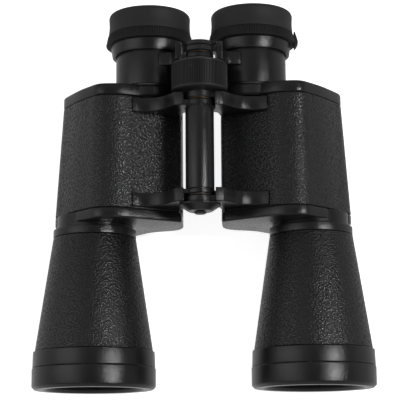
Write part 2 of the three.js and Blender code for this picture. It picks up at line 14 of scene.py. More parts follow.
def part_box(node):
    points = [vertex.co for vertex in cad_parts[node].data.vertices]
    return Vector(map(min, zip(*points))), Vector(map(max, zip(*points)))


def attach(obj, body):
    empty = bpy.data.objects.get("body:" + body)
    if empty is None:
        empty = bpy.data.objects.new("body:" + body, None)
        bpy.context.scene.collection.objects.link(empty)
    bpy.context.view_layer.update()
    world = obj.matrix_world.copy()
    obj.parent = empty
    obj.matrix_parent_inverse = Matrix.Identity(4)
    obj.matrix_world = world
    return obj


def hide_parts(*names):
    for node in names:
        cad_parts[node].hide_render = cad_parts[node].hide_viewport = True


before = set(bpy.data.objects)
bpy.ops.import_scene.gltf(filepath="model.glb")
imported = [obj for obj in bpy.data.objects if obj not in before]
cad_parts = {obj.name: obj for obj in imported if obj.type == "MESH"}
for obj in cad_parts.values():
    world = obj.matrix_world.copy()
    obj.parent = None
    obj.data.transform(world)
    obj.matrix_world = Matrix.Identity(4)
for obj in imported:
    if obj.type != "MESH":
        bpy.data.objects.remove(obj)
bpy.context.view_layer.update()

MM = 0.001
FINE = 128  # steps round a large ring
SMALL = 64  # steps round a small one
SHARP_ANGLE = math.radians(32)  # faces that meet at more than this are shaded with a sharp edge
SIDES = {"left": -1, "right": 1}


# ---------------------------------------------------------------- sizes from the frame
class Turned:
    """The axis, radius and Y range of a CAD node that is turned round a line along Y."""

    def __init__(self, node):
        low, high = (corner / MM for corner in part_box(node))
        self.x = (low.x + high.x) / 2
        self.z = (low.z + high.z) / 2
        self.radius = (high.x - low.x) / 2
        self.low = low.y
        self.high = high.y


HINGE = Turned("hinge_tube")
CAP = Turned("hinge_cap")
CAP_SCREW = Turned("hinge_cap_screw")
WASHERS = [Turned("lower_hinge_washer"), Turned("upper_hinge_washer")]
AXLE = Turned("hinge_axle")
SPINDLE = Turned("focus_spindle")
HUB_WASHER = Turned("bridge_hub_washer")
WHEEL = Turned("focus_wheel")
HUB_CAP = Turned("bridge_hub_cap")
TUBE = Turned("right_eyepiece_tube")
SLEEVE = Turned("right_guide_sleeve")
COLLAR = Turned("right_eyepiece_collar")
RIB_BAND = Turned("left_rib_band")
EYECUP = Turned("right_eyecup")
OCULAR = Turned("right_ocular_cell")
EYE_LENS = Turned("right_eye_lens")
FIELD_LENS = Turned("right_field_lens")
BARREL = Turned("right_barrel")
CONE = Turned("right_barrel_leatherette")
OBJECTIVE_RING = Turned("right_objective_ring")
HOOD = Turned("right_objective_hood")
CELL = Turned("right_objective_cell")
CROWN = Turned("right_crown_lens")
FLINT = Turned("right_flint_lens")
REAR_COVER = Turned("right_rear_cover")
FRONT_COVER = Turned("right_front_cover")
SKIN = Turned("right_housing_leatherette")

OBJECTIVE_AXIS = (HOOD.x, HOOD.z - HINGE.z)
EYEPIECE_AXIS = (TUBE.x, TUBE.z - HINGE.z)

GAP = 0.3  # clearance between pieces that touch
SEAM_LAP = 0.25  # how far a housing reaches into the gap beside each of its covers
SKIN_THICKNESS = 0.8
WALL = 1.9
TUBE_WALL = 2
BARREL_TOP_RADIUS = 22
NECK_RADIUS = 20
SPIGOT_RADIUS = 13.8
BOSS_RADIUS = 16.5
KNUCKLE_RADIUS = 7.7
KNUCKLE_WEB_X = (4, 11)  # the web between a knuckle and its strap
KNUCKLE_WEB_HALF_HEIGHT = 5.5
AXLE_HOLE = AXLE.radius + GAP
SPINDLE_HOLE = SPINDLE.radius + GAP
DRILL_PAST = 5  # how far a drill stands out of what it cuts
NUT_LOW = WHEEL.high - 3  # the wheel's end wall, which is the spindle's nut, begins here

# Corners of the housing's section as x, z and how far the rounding reaches along both edges.
HOUSING_CORNERS = [
    (10.4, -20.5, 3),
    (41, -2.8, 5.5),
    (53, -2.4, 4.5),
    (64.6, -15.8, 7),
    (77, -36, 8),
    (69, -54, 7),
    (52, -HINGE.z, 4),
    (40, -HINGE.z, 4),
    (28, -52, 5),
    (10.4, -46, 8.5),
]
# The strap that carries a hinge lug over the housing: x, z and rounding, as above. Its inner
# end hooks under the other half's knuckle.
STRAP_CORNERS = [
    (8.1, 6.6, 0.5),
    (12.5, 5.4, 1.2),
    (15.5, 1.4, 2),
    (18.5, -2.6, 2),
    (22, -5.3, 2),
    (26.7, -6.4, 2),
    (31, -6.2, 2),
    (35, -5, 0.4),
    (35, -8.4, 0.4),
    (13.5, -20.8, 1),
    (12.4, -25, 0.4),
    (11.4, -25, 0.4),
    (9, -12, 1.5),
    (5.2, -9.2, 0.8),
    (4.8, -7.4, 0.5),
    (6.6, -5, 1),
    (8.1, -1.8, 1),
]
STRAP_ROWS = [(-7.6, -0.4), (42.8, 50.2)]  # each strap's Y range
STRAP_REACH = 35  # the x where the straps end on the skin
STRAP_DEPTH = -27  # the z down to which the skin leaves room for them
LEFT_KNUCKLE_LOW = 43  # where the left half's upper knuckle begins
KNUCKLE_TOP = 50.5
KNUCKLE_ROWS = {
    "left": [(WASHERS[0].high + GAP, HINGE.low - GAP), (LEFT_KNUCKLE_LOW, WASHERS[1].low - GAP)],
    "right": [(STRAP_ROWS[0][0], WASHERS[0].low - GAP), (WASHERS[1].high + GAP, KNUCKLE_TOP)],
}


# ---------------------------------------------------------------- outlines
ROUNDING_LOSS = 0.4  # the share of an inset that comes off a corner's rounding
LEAST_ROUNDING = 0.05
MOST_OF_EDGE = 0.49  # the share of an edge that one rounding may take, so that two never meet


def inset_corners(corners, distance):
    """Moves every edge of a closed outline inwards. Corners go clockwise as seen along +Y."""
    count = len(corners)
    edges = []
    for i, (x, z, _) in enumerate(corners):
        next_x, next_z, _ = corners[(i + 1) % count]
        length = math.hypot(next_x - x, next_z - z)
        along = ((next_x - x) / length, (next_z - z) / length)
        edges.append((x + along[1] * distance, z - along[0] * distance, along))
    moved = []
    for i, (_, _, reach) in enumerate(corners):
        ax, az, a = edges[i - 1]
        bx, bz, b = edges[i]
        cross = a[0] * b[1] - a[1] * b[0]
        reach = max(reach - ROUNDING_LOSS * distance, LEAST_ROUNDING)
        if abs(cross) < 1e-6:
            moved.append((bx, bz, reach))
            continue
        travel = ((bx - ax) * b[1] - (bz - az) * b[0]) / cross
        moved.append((ax + a[0] * travel, az + a[1] * travel, reach))
    return moved


def rounded(corners, steps):
    """A closed outline whose corners are quadratic curves that reach along both edges."""
    points = []
    count = len(corners)
    for i, (x, z, reach) in enumerate(corners):
        ends = []
        for other_x, other_z, _ in (corners[i - 1], corners[(i + 1) % count]):
            length = math.hypot(other_x - x, other_z - z)
            share = min(reach / length, MOST_OF_EDGE)
            ends.append((x + (other_x - x) * share, z + (other_z - z) * share))
        controls = (ends[0], (x, z), ends[1])
        for k in range(steps + 1):
            t = k / steps
            weights = ((1 - t) ** 2, 2 * t * (1 - t), t**2)
            curve_x, curve_z = (sum(w * c for w, c in zip(weights, row)) for row in zip(*controls))
            points.append((curve_x, curve_z))
    return points


def section(corners, inset, steps):
    """The rounded outline, moved inwards by an inset."""
    return rounded(inset_corners(corners, inset), steps)


def resampled(points, spacing):
    """The same closed outline with evenly spaced points."""
    loop = points + points[:1]
    lengths = [math.dist(a, b) for a, b in zip(loop, loop[1:])]
    count = round(sum(lengths) / spacing)
    step = sum(lengths) / count
    result = []
    travelled = 0
    for (start, end), length in zip(zip(loop, loop[1:]), lengths):
        while len(result) < count and len(result) * step <= travelled + length + 1e-9:
            share = (len(result) * step - travelled) / length
            result.append(tuple(a + (b - a) * share for a, b in zip(start, end)))
        travelled += length
    return result


def profile(points, reach):
    """A turned profile [radius, y] whose corners are all rounded a little."""
    return rounded([(r, y, reach) for r, y in points], 4)


def flare(x, y):
    """The housing's outer side leans outwards towards the objectives."""
    inner = 34
    outer = 76
    widening = 4.1
    forward = (REAR_COVER.low - y) / (REAR_COVER.low - FRONT_COVER.high)
    share = min(max(forward, 0), 1)
    side = max(x - inner, 0) / (outer - inner)
    return x + widening * side * side * share


# ---------------------------------------------------------------- mesh makers
def bridge(bm, first, second):
    """Faces between two closed rings of vertices. A ring may be one vertex repeated."""
    count = len(first)
    for i in range(count):
        j = (i + 1) % count
        corners = []
        for vertex in (first[i], first[j], second[j], second[i]):
            if vertex not in corners:
                corners.append(vertex)
        if len(corners) > 2:
            bm.faces.new(corners)


def turn(points, axis=(0, 0), segments=FINE, shape=None):
    """Turns a closed [radius, y] profile round a line along Y.

    shape(radius, y, step) may change a radius. A radius of 0 is one vertex on the axis.
    """
    bm = bmesh.new()
    x, z = axis
    rings = []
    for radius, y in points:
        if radius == 0:
            rings.append([bm.verts.new((x, y, z))] * segments)
            continue
        ring = []
        for i in range(segments):
            angle = math.tau * i / segments
            r = shape(radius, y, i) if shape else radius
            ring.append(bm.verts.new((x + r * math.sin(angle), y, z + r * math.cos(angle))))
        rings.append(ring)
    for i, ring in enumerate(rings):
        following = rings[(i + 1) % len(rings)]
        if len(set(ring)) == 1 and len(set(following)) == 1:
            continue
        bridge(bm, ring, following)
    return bm


def rod(radius, low, high, axis=(0, 0), segments=SMALL, edge=0.3):
    """A solid cylinder along Y with chamfered ends."""
    points = [(0, low), (radius - edge, low), (radius, low + edge)]
    points += [(radius, high - edge), (radius - edge, high), (0, high)]
    return turn(points, axis, segments)


def ring_band(inner, outer, low, high, axis=(0, 0), segments=FINE, reach=0.3):
    """A tube along Y with rounded edges."""
    points = [(inner, low), (outer, low), (outer, high), (inner, high)]
    return turn(profile(points, reach), axis, segments)


def rounded_rows(low, high, edge):
    """Y and inset of the rows of a solid whose two end edges are rounded."""
    steps = 4
    near = []
    for k in range(steps + 1):
        angle = math.pi / 2 * k / steps
        near.append((edge * (1 - math.sin(angle)), edge * (1 - math.cos(angle))))
    near = [(low + depth, inset) for depth, inset in sorted(near)]
    return near + [(low + high - y, inset) for y, inset in reversed(near)]


def loft(rows, outline_at, bend=None):
    """A closed solid through outlines at the rows' Y.

    outline_at(inset) gives [x, z] points, and bend(x, y) may move their x.
    """
    bm = bmesh.new()
    rings = []
    for y, inset in rows:
        outline = outline_at(inset)
        rings.append([bm.verts.new((bend(x, y) if bend else x, y, z)) for x, z in outline])
    for first, second in zip(rings, rings[1:]):
        bridge(bm, first, second)
    bm.faces.new(rings[0])
    bm.faces.new(rings[-1])
    return bm


def extrude(corners, low, high, edge, steps=5):
    """A solid of one section along Y, with rounded end edges."""
    return loft(rounded_rows(low, high, edge), lambda inset: section(corners, inset, steps))


def block(x_range, y_range, z_range, edge):
    """A box whose edges are all rounded."""
    corners = [
        (x_range[0], z_range[0], edge),
        (x_range[0], z_range[1], edge),
        (x_range[1], z_range[1], edge),
        (x_range[1], z_range[0], edge),
    ]
    return extrude(corners, *y_range, edge, 3)


def lens(radius, edges, bulges, axis):
    """A lens whose two faces meet its rim at edges and whose middles stand off by bulges, along +Y."""
    steps = 10
    shares = [k / steps for k in range(steps + 1)]
    faces = []
    for edge, bulge in zip(edges, bulges):
        faces.append([(radius * s, edge + bulge * (1 - s * s)) for s in shares])
    return turn(faces[0] + faces[1][::-1], axis, SMALL)


def mesh_of(bm, name):
    """The bmesh as a named mesh. The bmesh is freed."""
    mesh = bpy.data.meshes.new(name)
    bm.to_mesh(mesh)
    bm.free()
    return mesh


def in_scene(name, data):
    """A new object in the scene that holds a mesh, a light or a camera."""
    made = bpy.data.objects.new(name, data)
    bpy.context.scene.collection.objects.link(made)
    return made


def scratch_object(bm):
    """A passing object for modifiers to work on."""
    bmesh.ops.recalc_face_normals(bm, faces=bm.faces)
    return in_scene("scratch", mesh_of(bm, "scratch"))


def with_modifiers_applied(made):
    """The object's mesh after its modifiers, as a bmesh. The object is removed."""
    bpy.context.view_layer.update()
    evaluated = made.evaluated_get(bpy.context.evaluated_depsgraph_get())
    bm = bmesh.new()
    bm.from_mesh(evaluated.to_mesh())
    bpy.data.meshes.remove(made.data)
    return bm


def boolean(base, tools, operation):
    """The base joined with the tools or cut by them, one after the other."""
    made = scratch_object(base)
    others = [scratch_object(tool) for tool in tools]
    for other in others:
        modifier = made.modifiers.new("boolean", "BOOLEAN")
        modifier.operation = operation
        modifier.solver = "EXACT"
        modifier.object = other
    bm = with_modifiers_applied(made)
    for other in others:
        bpy.data.meshes.remove(other.data)
    return bm


def joined(base, *others):
    return boolean(base, others, "UNION")


def cut(base, *tools):
    return boolean(base, tools, "DIFFERENCE")


def add_piece(name, bm, side, finish, body, *replaced):
    """Puts a finished shape in the scene: scaled, mirrored, shaded, and tied to its CAD body."""
    across = SIDES.get(side, 1) * MM
    for vertex in bm.verts:
        x, y, z = vertex.co
        vertex.co = (x * across, y * MM, (HINGE.z + z) * MM)
    bmesh.ops.recalc_face_normals(bm, faces=bm.faces)
    mesh = mesh_of(bm, name)
    mesh.shade_smooth()
    mesh.set_sharp_from_angle(angle=SHARP_ANGLE)
    mesh.materials.append(FINISHES[finish])
    piece = in_scene(name, mesh)
    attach(piece, body)
    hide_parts(*replaced)


# ---------------------------------------------------------------- materials
def map_range(tree, value, source, target):
    """The value, taken from the source range to the target range."""
    node = tree.nodes.new("ShaderNodeMapRange")
    tree.links.new(value, node.inputs["Value"])
    for key, number in zip(("From Min", "From Max", "To Min", "To Max"), (*source, *target)):
        node.inputs[key].default_value = number
    return node.outputs["Result"]


class Nodes:
    """A material, and short ways to add nodes and links to it."""

    def __init__(self, name):
        self.material = bpy.data.materials.new(name)
        self.material.use_nodes = True
        self.tree = self.material.node_tree
        self.shader = self.tree.nodes["Principled BSDF"]

    def add(self, kind, settings=None, **inputs):
        node = self.tree.nodes.new(kind)
        for key, value in (settings or {}).items():
            setattr(node, key, value)
        for key, value in inputs.items():
            self.feed(value, node.inputs[key.replace("_", " ")])
        return node

    def feed(self, value, socket):
        """Links another node's output to the socket, or sets its own value."""
        if isinstance(value, bpy.types.NodeSocket):
            self.tree.links.new(value, socket)
        else:
            socket.default_value = value

    def set(self, **inputs):
        """Feeds the shader's sockets."""
        for key, value in inputs.items():
            self.feed(value, self.shader.inputs[key.replace("_", " ")])

    def place(self):
        return self.add("ShaderNodeTexCoord").outputs["Object"]

    def noise(self, scale, detail):
        node = self.add("ShaderNodeTexNoise", Vector=self.place(), Scale=scale, Detail=detail)
        return node.outputs["Fac"]

    def spread(self, value, low, high, start=0.3, end=0.7):
        """Takes a value from start-end, where most of a noise lies, to low-high."""
        return map_range(self.tree, value, (start, end), (low, high))

    def squared(self, value):
        node = self.add("ShaderNodeMath", {"operation": "MULTIPLY"})
        for socket in node.inputs[:2]:
            self.feed(value, socket)
        return node.outputs["Value"]

    def sum(self, first, second, share):
        """first + second * share"""
        node = self.add("ShaderNodeMath", {"operation": "MULTIPLY_ADD"})
        self.feed(second, node.inputs[0])
        node.inputs[1].default_value = share
        self.feed(first, node.inputs[2])
        return node.outputs["Value"]

    def colours(self, value, dark, light):
        node = self.add("ShaderNodeMix", {"data_type": "RGBA"})
        self.feed(value, node.inputs["Factor"])
        node.inputs[6].default_value = (*dark, 1)
        node.inputs[7].default_value = (*light, 1)
        return node.outputs[2]

    def bump(self, height, strength, distance):
        node = self.add("ShaderNodeBump", Height=height, Strength=strength, Distance=distance)
        self.set(Normal=node.outputs["Normal"])


def black_paint():
    """Baked enamel: satin, with a fine orange peel, faint smudges and paler edges."""
    n = Nodes("black_paint")
    peel = n.noise(2600, 2)
    smudge = n.noise(70, 4)
    edge = n.spread(n.add("ShaderNodeNewGeometry").outputs["Pointiness"], 0, 1, 0.5, 0.62)
    n.set(
        Base_Color=n.colours(edge, (0.008, 0.008, 0.0085), (0.024, 0.024, 0.025)),
        Roughness=n.spread(n.sum(smudge, peel, 0.3), 0.12, 0.22, 0.45, 0.8),
        Specular_IOR_Level=0.34,
    )
    n.bump(peel, 1.0, 0.00009)
    return n.material


def leatherette():
    """Pebble-grained covering: round, glossy grains, with painted shade darkening the fine creases
    between them.
    """
    n = Nodes("leatherette")
    cells = n.add("ShaderNodeTexVoronoi", Vector=n.place(), Scale=1000)
    pebble = n.spread(n.squared(cells.outputs["Distance"]), 1, 0, 0, 0.5)
    height = n.sum(pebble, n.noise(3600, 2), 0.1)
    # The base colour is darker in the creases than on the grains: painted crease shade.
    n.set(
        Base_Color=n.colours(pebble, (0.001, 0.001, 0.001), (0.004, 0.004, 0.0043)),
        Roughness=n.spread(pebble, 0.52, 0.16, 0.1, 0.8),
        Specular_IOR_Level=0.45,
    )
    n.bump(height, 1.0, 0.00016)
    return n.material


def rubber(name, dark, light, roughness):
    """Matt rubber, a little patchy from handling."""
    n = Nodes(name)
    fine = n.noise(2600, 4)
    patches = n.noise(60, 3)
    n.set(
        Base_Color=n.colours(patches, dark, light),
        Roughness=n.spread(patches, roughness - 0.06, roughness + 0.08),
        Specular_IOR_Level=0.35,
    )
    n.bump(fine, 0.4, 0.00006)
    return n.material


def metal(name, dark, light, roughness):
    """Bare metal with fine marks and broad patches of tarnish."""
    n = Nodes(name)
    marks = n.noise(3000, 3)
    patches = n.noise(90, 3)
    n.set(
        Base_Color=n.colours(patches, dark, light),
        Metallic=1.0,
        Roughness=n.spread(marks, roughness - 0.06, roughness + 0.1),
    )
    n.bump(marks, 0.2, 0.00003)
    return n.material


def blackened_metal():
    """Matt black metal that keeps stray light down."""
    n = Nodes("dark_metal")
    grain = n.noise(3200, 3)
    n.set(
        Base_Color=n.colours(grain, (0.004, 0.004, 0.0045), (0.012, 0.012, 0.013)),
        Metallic=0.3,
        Roughness=n.spread(grain, 0.55, 0.75),
    )
    n.bump(grain, 0.4, 0.00005)
    return n.material


def glass(name, tint, film):
    """Clear glass with a little dust. film is its coating's thickness in nanometres."""
    n = Nodes(name)
    dust = n.noise(160, 5)
    n.set(
        Base_Color=(*tint, 1),
        Roughness=n.spread(dust, 0.0, 0.06, 0.45, 0.85),
        IOR=1.52,
        Transmission_Weight=1.0,
        Thin_Film_Thickness=film,
    )
    return n.material


FINISHES = {
    "black_paint": black_paint(),
    "leatherette": leatherette(),
    "eyecup_rubber": rubber("eyecup_rubber", (0.01, 0.01, 0.0105), (0.016, 0.016, 0.017), 0.6),
    "focus_rubber": rubber("focus_rubber", (0.012, 0.012, 0.0125), (0.018, 0.018, 0.019), 0.46),
    "bronze": metal("bronze", (0.05, 0.035, 0.024), (0.1, 0.068, 0.046), 0.5),
    "steel": metal("steel", (0.42, 0.43, 0.44), (0.6, 0.61, 0.62), 0.3),
    "dark_metal": blackened_metal(),
    "lens_glass": glass("lens_glass", (0.86, 0.93, 0.98), 380),
    "prism_glass": glass("prism_glass", (0.97, 0.98, 0.98), 0),
}


# ---------------------------------------------------------------- housing
def housing_section(inset):
    return section(HOUSING_CORNERS, inset, 8)


def casting(side):
    """The cast housing: its wall, the two straps over it and the hinge knuckles they carry."""
    under_skin = SKIN_THICKNESS + GAP
    rows = rounded_rows(SKIN.low - SEAM_LAP, SKIN.high + SEAM_LAP, 0.4)
    outer = loft(rows, lambda inset: housing_section(inset + under_skin), flare)
    inner_rows = [(SKIN.low - 1, 0), (SKIN.high + 1, 0)]
    inner = loft(inner_rows, lambda inset: housing_section(inset + under_skin + WALL), flare)
    wall = cut(outer, inner)
    straps = [extrude(STRAP_CORNERS, *row, 0.6) for row in STRAP_ROWS]
    low = STRAP_ROWS[0][0]
    high = STRAP_ROWS[1][1]
    web_height = (-KNUCKLE_WEB_HALF_HEIGHT, KNUCKLE_WEB_HALF_HEIGHT)
    knuckles = []
    for row in KNUCKLE_ROWS[side]:
        web_row = (row[0], min(row[1], high))
        knuckles.append(rod(KNUCKLE_RADIUS, *row, edge=0.35))
        knuckles.append(block(KNUCKLE_WEB_X, web_row, web_height, 0.4))
    drill = rod(AXLE_HOLE, low - DRILL_PAST, high + DRILL_PAST)
    return cut(joined(wall, *straps, *knuckles), drill)


def in_strap_window(x, y, z):
    """Whether a point of the skin lies where a strap passes."""
    if x > STRAP_REACH + GAP or z < STRAP_DEPTH:
        return False
    lower, upper = STRAP_ROWS
    return y < lower[1] + GAP or y > upper[0] - GAP


def housing_skin():
    """The leatherette round the housing, cut out round the straps."""
    spacing = 1
    outline = resampled(housing_section(0), spacing)
    lower, upper = STRAP_ROWS
    marks = [SKIN.low, lower[1] + GAP, upper[0] - GAP, SKIN.high]
    rows = []
    for start, end in zip(marks, marks[1:]):
        steps = max(round((end - start) / spacing), 1)
        rows += [start + (end - start) * k / steps for k in range(steps)]
    rows.append(SKIN.high)
    bm = bmesh.new()
    grid = [[bm.verts.new((flare(x, y), y, z)) for x, z in outline] for y in rows]
    count = len(outline)
    for row, next_row in zip(grid, grid[1:]):
        for i in range(count):
            corners = (row[i], row[(i + 1) % count], next_row[(i + 1) % count], next_row[i])
            middle = sum((v.co for v in corners), Vector()) / 4
            if not in_strap_window(*middle):
                bm.faces.new(corners)
    loose = [v for v in bm.verts if not v.link_faces]
    bmesh.ops.delete(bm, geom=loose, context="VERTS")
    return thickened(bm, SKIN_THICKNESS)


def thickened(sheet, thickness):
    """Gives an outward-facing sheet a thickness inwards and slightly rounded edges."""
    made = scratch_object(sheet)
    centre = sum((v.co for v in made.data.vertices), Vector()) / len(made.data.vertices)
    outward = sum(p.normal.dot(p.center - centre) for p in made.data.polygons)
    solid = made.modifiers.new("solid", "SOLIDIFY")
    solid.thickness = thickness
    solid.offset = -1 if outward > 0 else 1
    solid.use_even_offset = True
    edges = made.modifiers.new("edges", "BEVEL")
    edges.width = 0.2
    edges.segments = 2
    edges.limit_method = "ANGLE"
    edges.angle_limit = math.radians(50)
    return with_modifiers_applied(made)


def rear_cover():
    """A plate with a round boss under the eyepiece, bored for the guide sleeve's foot."""
    plate = loft(rounded_rows(REAR_COVER.low, REAR_COVER.high, 0.9), housing_section, flare)
    boss = rod(BOSS_RADIUS, REAR_COVER.low, REAR_COVER.high, EYEPIECE_AXIS, FINE, 0.9)
    rows = (REAR_COVER.low - DRILL_PAST, REAR_COVER.high + DRILL_PAST)
    return cut(joined(plate, boss), rod(SPIGOT_RADIUS + GAP, *rows, EYEPIECE_AXIS))


def front_cover():
    """A plate with a round hole for the barrel's neck."""
    plate = loft(rounded_rows(FRONT_COVER.low, FRONT_COVER.high, 0.9), housing_section, flare)
    rows = (FRONT_COVER.low - DRILL_PAST, FRONT_COVER.high + DRILL_PAST)
    return cut(plate, rod(NECK_RADIUS + GAP, *rows, OBJECTIVE_AXIS, FINE))


# ---------------------------------------------------------------- objective side
FLANGE = (-19.9, -15.8)  # its Y range
CONE_BOTTOM_RADIUS = 31
CLEAR_RADIUS = 25


def barrel():
    """The barrel's metal wall: the neck through the front cover, the flange and the cone."""
    seat = SKIN_THICKNESS + GAP
    cone_foot = CONE_BOTTOM_RADIUS - seat
    end = cone_foot - 0.9
    mouth = CLEAR_RADIUS + 2.6
    bore = NECK_RADIUS - 2.2
    points = [
        (NECK_RADIUS, BARREL.high),
        (NECK_RADIUS, FLANGE[1]),
        (BARREL_TOP_RADIUS, FLANGE[1]),
        (BARREL_TOP_RADIUS, FLANGE[0]),
        (BARREL_TOP_RADIUS - seat, FLANGE[0]),
        (cone_foot, CONE.low),
        (end, CONE.low),
        (end, BARREL.low),
        (mouth, BARREL.low),
        (mouth, CELL.high + GAP),
        (CLEAR_RADIUS, CELL.high + GAP),
        (bore, FLANGE[0]),
        (bore, BARREL.high),
    ]
    return turn(profile(points, 0.35), OBJECTIVE_AXIS)


def barrel_skin():
    """The leatherette round the barrel's cone."""
    points = [
        (BARREL_TOP_RADIUS - SKIN_THICKNESS, CONE.high),
        (BARREL_TOP_RADIUS, CONE.high),
        (CONE_BOTTOM_RADIUS, CONE.low),
        (CONE_BOTTOM_RADIUS - SKIN_THICKNESS, CONE.low),
    ]
    return turn(profile(points, 0.25), OBJECTIVE_AXIS, 2 * FINE)


def objective_ring():
    """The ring between the barrel and the hood."""
    inner = CONE_BOTTOM_RADIUS - 1.7
    points = [
        (inner, OBJECTIVE_RING.low),
        (OBJECTIVE_RING.radius, OBJECTIVE_RING.low),
        (OBJECTIVE_RING.radius - 0.3, OBJECTIVE_RING.high),
        (inner, OBJECTIVE_RING.high),
    ]
    return turn(profile(points, 0.4), OBJECTIVE_AXIS, 2 * FINE)


def objective_hood():
    """The rounded hood in front of the lens."""
    lip = 1.5
    points = [
        (CLEAR_RADIUS, HOOD.high),
        (HOOD.radius, HOOD.high),
        (HOOD.radius, HOOD.low + lip),
        (HOOD.radius - lip, HOOD.low),
        (CLEAR_RADIUS + lip, HOOD.low),
        (CLEAR_RADIUS, HOOD.low + lip),
    ]
    return turn(profile(points, 0.45), OBJECTIVE_AXIS, 2 * FINE)


def objective_cell():
    """The ring that holds the objective lenses."""
    outer = CELL.radius
    lip = CLEAR_RADIUS - 1
    points = [
        (lip, CELL.high),
        (outer, CELL.high),
        (outer, CELL.low),
        (CLEAR_RADIUS + GAP, CELL.low),
        (CLEAR_RADIUS + GAP, CELL.high - 0.5),
        (lip, CELL.high - 0.5),
    ]
    return turn(profile(points, 0.15), OBJECTIVE_AXIS)


# ---------------------------------------------------------------- eyepiece
def guide_sleeve():
    """The sleeve that the eyepiece tube slides on. Its foot plugs into the rear cover."""
    foot_bore = SPIGOT_RADIUS - 1.2
    bore = SLEEVE.radius - 1.4
    shoulder = TUBE.low + 1.5
    points = [
        (foot_bore, SLEEVE.low),
        (SPIGOT_RADIUS, SLEEVE.low),
        (SPIGOT_RADIUS, TUBE.low),
        (SLEEVE.radius, TUBE.low),
        (SLEEVE.radius, SLEEVE.high),
        (bore, SLEEVE.high),
        (bore, shoulder),
        (foot_bore, shoulder),
    ]
    return turn(profile(points, 0.2), EYEPIECE_AXIS)


def eyepiece_tube():
    return ring_band(TUBE.radius - TUBE_WALL, TUBE.radius, TUBE.low, TUBE.high, EYEPIECE_AXIS)


def eyepiece_collar():
    """The smooth collar over the top of the eyepiece tube."""
    inner = TUBE.radius + GAP
    top = TUBE.radius - TUBE_WALL + 0.4
    points = [
        (inner, COLLAR.low),
        (COLLAR.radius - 1, COLLAR.low),
        (COLLAR.radius, COLLAR.high),
        (top, COLLAR.high),
        (top, TUBE.high + GAP),
        (inner, TUBE.high + GAP),
    ]
    return turn(profile(points, 0.35), EYEPIECE_AXIS)


RIB_COUNT = 160  # round an eyepiece
WHEEL_RIBS = 104  # round the focus wheel
RIB_DEPTH = 0.5
RIB_END = 0.05  # the length over which a groove comes to its depth
RIB_STEPS = 4  # steps round the axis for each rib: two on it and two in the groove beside it


def grooved(low, high, least_radius):
    """A shape for turn() that pulls the surface in between ribs that run from low to high."""

    def shape(radius, y, step):
        in_groove = step % RIB_STEPS >= RIB_STEPS // 2
        if in_groove and low <= y <= high and radius > least_radius:
            return radius - RIB_DEPTH
        return radius

    return shape


def rib_band():
    """The finely ribbed band under the eyecup, which narrows a little upwards."""
    inner = TUBE.radius - TUBE_WALL + 0.6
    foot_radius = RIB_BAND.radius
    top_radius = foot_radius - 0.9
    low = RIB_BAND.low + 0.4
    high = RIB_BAND.high - 0.3
    points = [
        (inner, RIB_BAND.low),
        (foot_radius - 0.6, RIB_BAND.low),
        (foot_radius - 0.15, RIB_BAND.low + 0.15),
        (foot_radius, low),
        (foot_radius - 0.02, low + RIB_END),
        (top_radius, high - RIB_END),
        (top_radius, high),
        (top_radius - 0.3, RIB_BAND.high),
        (inner, RIB_BAND.high),
    ]
    shape = grooved(low + RIB_END / 2, high - RIB_END / 2, inner + 1)
    return turn(points, EYEPIECE_AXIS, RIB_COUNT * RIB_STEPS, shape)


TAB_CORNERS = [
    (22.5, 80.9, 0.3),
    (22.5, 89.3, 0.2),
    (23.2, 89.3, 0.3),
    (24.6, 84.8, 0.7),
    (24.8, 83.4, 0.5),
    (23.4, 80.9, 0.5),
]
TAB_HALF_WIDTH = 3


def diopter_ring():
    """The rib band with a finger tab on its outer side."""
    x, z = EYEPIECE_AXIS
    tab = extrude(TAB_CORNERS, -TAB_HALF_WIDTH, TAB_HALF_WIDTH, 0.15)
    for vertex in tab.verts:
        across, up, along = vertex.co
        vertex.co = (x + across, along, z + up)
    return joined(rib_band(), tab)


def eyecup():
    """A rubber cup with a waist and a rounded rim."""
    foot = EYECUP.radius
    points = [
        (14.9, EYECUP.low, 0.3),
        (foot, EYECUP.low, 0.4),
        (foot - 0.5, EYECUP.low + 4.9, 2.4),
        (foot - 0.2, EYECUP.high - 1.4, 1),
        (foot - 1.3, EYECUP.high, 0.8),
        (foot - 2.9, EYECUP.high, 0.8),
        (foot - 4.2, EYECUP.high - 2.5, 2),
    ]
    return turn(rounded(points, 6), EYEPIECE_AXIS)


def ocular_cell():
    """The tube that holds the eye lens and the field lens, with a shoulder that guides it."""
    outer = OCULAR.radius - 1.8
    inner = outer - 1.5
    shoulder = (74.4, 79.4)
    points = [
        (inner, OCULAR.low),
        (outer, OCULAR.low),
        (outer, shoulder[0]),
        (OCULAR.radius, shoulder[0]),
        (OCULAR.radius, shoulder[1]),
        (outer, shoulder[1]),
        (outer, OCULAR.high),
        (inner, OCULAR.high),
    ]
    return turn(profile(points, 0.25), EYEPIECE_AXIS)


# ---------------------------------------------------------------- bridge, wheel and hinge
EAR = {"x": (9, 12.3), "y": (68.3, 77.2), "half_height": 4.5}
HUB_LINK_HALF_HEIGHT = 3.5  # the link between an ear and its ring round the spindle
ARM_ROWS = (67.5, 74.6)
ARM_CORNERS = [
    (EAR["x"][0], EAR["half_height"], 0.6),
    (EAR["x"][1], EAR["half_height"], 0.8),
    (13, -2.4, 1),
    (15, -5.2, 1),
    (21.8, -5.9, 1.2),
    (21.8, -12, 1),
    (13, -20, 2),
    (EAR["x"][0], -EAR["half_height"], 2),
]
HUB_LOW = 68.2


